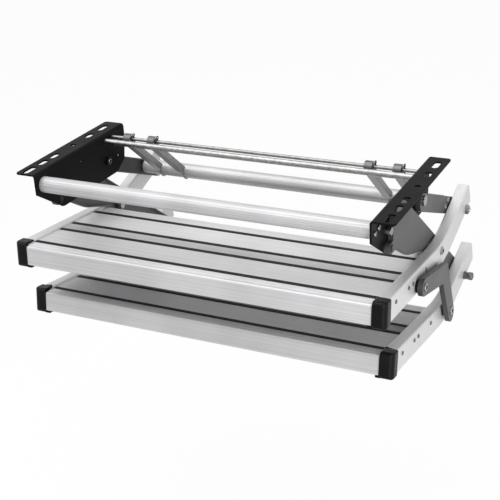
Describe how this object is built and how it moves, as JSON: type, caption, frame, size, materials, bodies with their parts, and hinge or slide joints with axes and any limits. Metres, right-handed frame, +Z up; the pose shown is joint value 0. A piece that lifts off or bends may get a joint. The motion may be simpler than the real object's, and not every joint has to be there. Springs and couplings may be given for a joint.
{
  "type": "caravan pull out step",
  "caption": "Folding double entrance step that swings out and down from under a floor on two pairs of arms, with ribbed treads, grip strips and return springs.",
  "frame": {"origin": "midpoint between the two round holes in the bracket flanges, on the flanges' top face, with the step stowed", "axes": "+X to the right of someone facing the step, +Y towards the rear under the floor, +Z up, normal to the flanges"},
  "size_m": [0.63, 0.45, 0.2728],
  "materials": {
    "black_steel": "satin black powder coat",
    "arm_steel": "dark grey satin coat",
    "anodised": "satin anodised",
    "zinc": "zinc plated",
    "dark_steel": "dark phosphated",
    "spring_steel": "bright drawn wire",
    "strip_rubber": "matt black rubber",
    "cap_plastic": "black moulded plastic"
  },
  "bodies": {
    "root": {"left_bracket": "black_steel", "right_bracket": "black_steel", "front_cross_tube": "anodised", "front_tube_screws": "zinc", "upper_cross_rod": "zinc", "spring_rod": "dark_steel", "stop_bushes": "zinc", "front_pivot_pins": "zinc", "rear_pivot_bolts": "zinc", "pivot_washers": "zinc"},
    "front_arms": {"left_front_arm": "arm_steel", "right_front_arm": "arm_steel", "front_arm_washers": "zinc"},
    "rear_arms": {"left_rear_arm": "arm_steel", "right_rear_arm": "arm_steel", "rear_arm_washers": "zinc", "rear_cross_tube": "anodised", "rear_tube_screws": "zinc"},
    "upper_step": {"upper_left_rail": "anodised", "upper_right_rail": "anodised", "upper_nosing": "anodised", "upper_front_plank": "anodised", "upper_narrow_plank": "anodised", "upper_middle_plank": "anodised", "upper_rear_plank": "anodised", "upper_grip_strips": "strip_rubber", "upper_left_cap": "cap_plastic", "upper_right_cap": "cap_plastic", "upper_plank_screws": "zinc", "upper_front_pivot_bolts": "zinc", "upper_rear_pivot_bolts": "zinc", "upper_link_bolts": "zinc"},
    "lower_step": {"lower_left_rail": "anodised", "lower_right_rail": "anodised", "lower_nosing": "anodised", "lower_front_plank": "anodised", "lower_narrow_plank": "anodised", "lower_middle_plank": "anodised", "lower_rear_plank": "anodised", "lower_grip_strips": "strip_rubber", "lower_left_cap": "cap_plastic", "lower_right_cap": "cap_plastic", "lower_plank_screws": "zinc", "lower_pivot_studs": "zinc", "lower_link_bolts": "zinc"},
    "step_links": {"left_link": "arm_steel", "right_link": "arm_steel", "link_spacers": "zinc"},
    "spring_covers": {"outer_left_cover": "dark_steel", "inner_left_cover": "dark_steel", "inner_right_cover": "dark_steel", "outer_right_cover": "dark_steel"},
    "draw_bar_set": {"draw_bars": "dark_steel", "outer_left_spring": "spring_steel", "inner_left_spring": "spring_steel", "inner_right_spring": "spring_steel", "outer_right_spring": "spring_steel"}
  },
  "joints": [
    {"name": "pull_out", "type": "hinge", "parent": "root", "child": "front_arms", "pos_m": [0, -0.0805, -0.062], "axis": [-1, 0, 0], "range_deg": [0, 75]},
    {"name": "rear_arm_swing", "type": "hinge", "parent": "root", "child": "rear_arms", "pos_m": [0, 0.0605, -0.047], "axis": [-1, 0, 0], "range_deg": [0, 78]},
    {"name": "upper_step_level", "type": "hinge", "parent": "front_arms", "child": "upper_step", "pos_m": [0, 0.0915, -0.1395], "axis": [1, 0, 0], "range_deg": [0, 80]},
    {"name": "lower_step_level", "type": "hinge", "parent": "front_arms", "child": "lower_step", "pos_m": [0, 0.2255, -0.244], "axis": [1, 0, 0], "range_deg": [0, 82]},
    {"name": "link_swing", "type": "hinge", "parent": "upper_step", "child": "step_links", "pos_m": [0, -0.0295, -0.141], "axis": [-1, 0, 0], "range_deg": [0, 78]},
    {"name": "spring_cover_swing", "type": "hinge", "parent": "root", "child": "spring_covers", "pos_m": [0, 0.0815, -0.0115], "axis": [-1, 0, 0], "range_deg": [0, 66]},
    {"name": "draw_bar_swing", "type": "hinge", "parent": "rear_arms", "child": "draw_bar_set", "pos_m": [0, 0.1845, -0.101], "axis": [1, 0, 0], "range_deg": [0, 14], "deforming": ["outer_left_spring", "inner_left_spring", "inner_right_spring", "outer_right_spring"]}
  ],
  "couplings": [
    {"joint": "rear_arm_swing", "follows": "pull_out", "ratio": 1.0357},
    {"joint": "upper_step_level", "follows": "pull_out", "ratio": 1.0555},
    {"joint": "lower_step_level", "follows": "pull_out", "ratio": 1.0773},
    {"joint": "link_swing", "follows": "pull_out", "ratio": 1.0244},
    {"joint": "spring_cover_swing", "follows": "pull_out", "ratio": 0.863},
    {"joint": "draw_bar_swing", "follows": "pull_out", "ratio": 0.173}
  ]
}
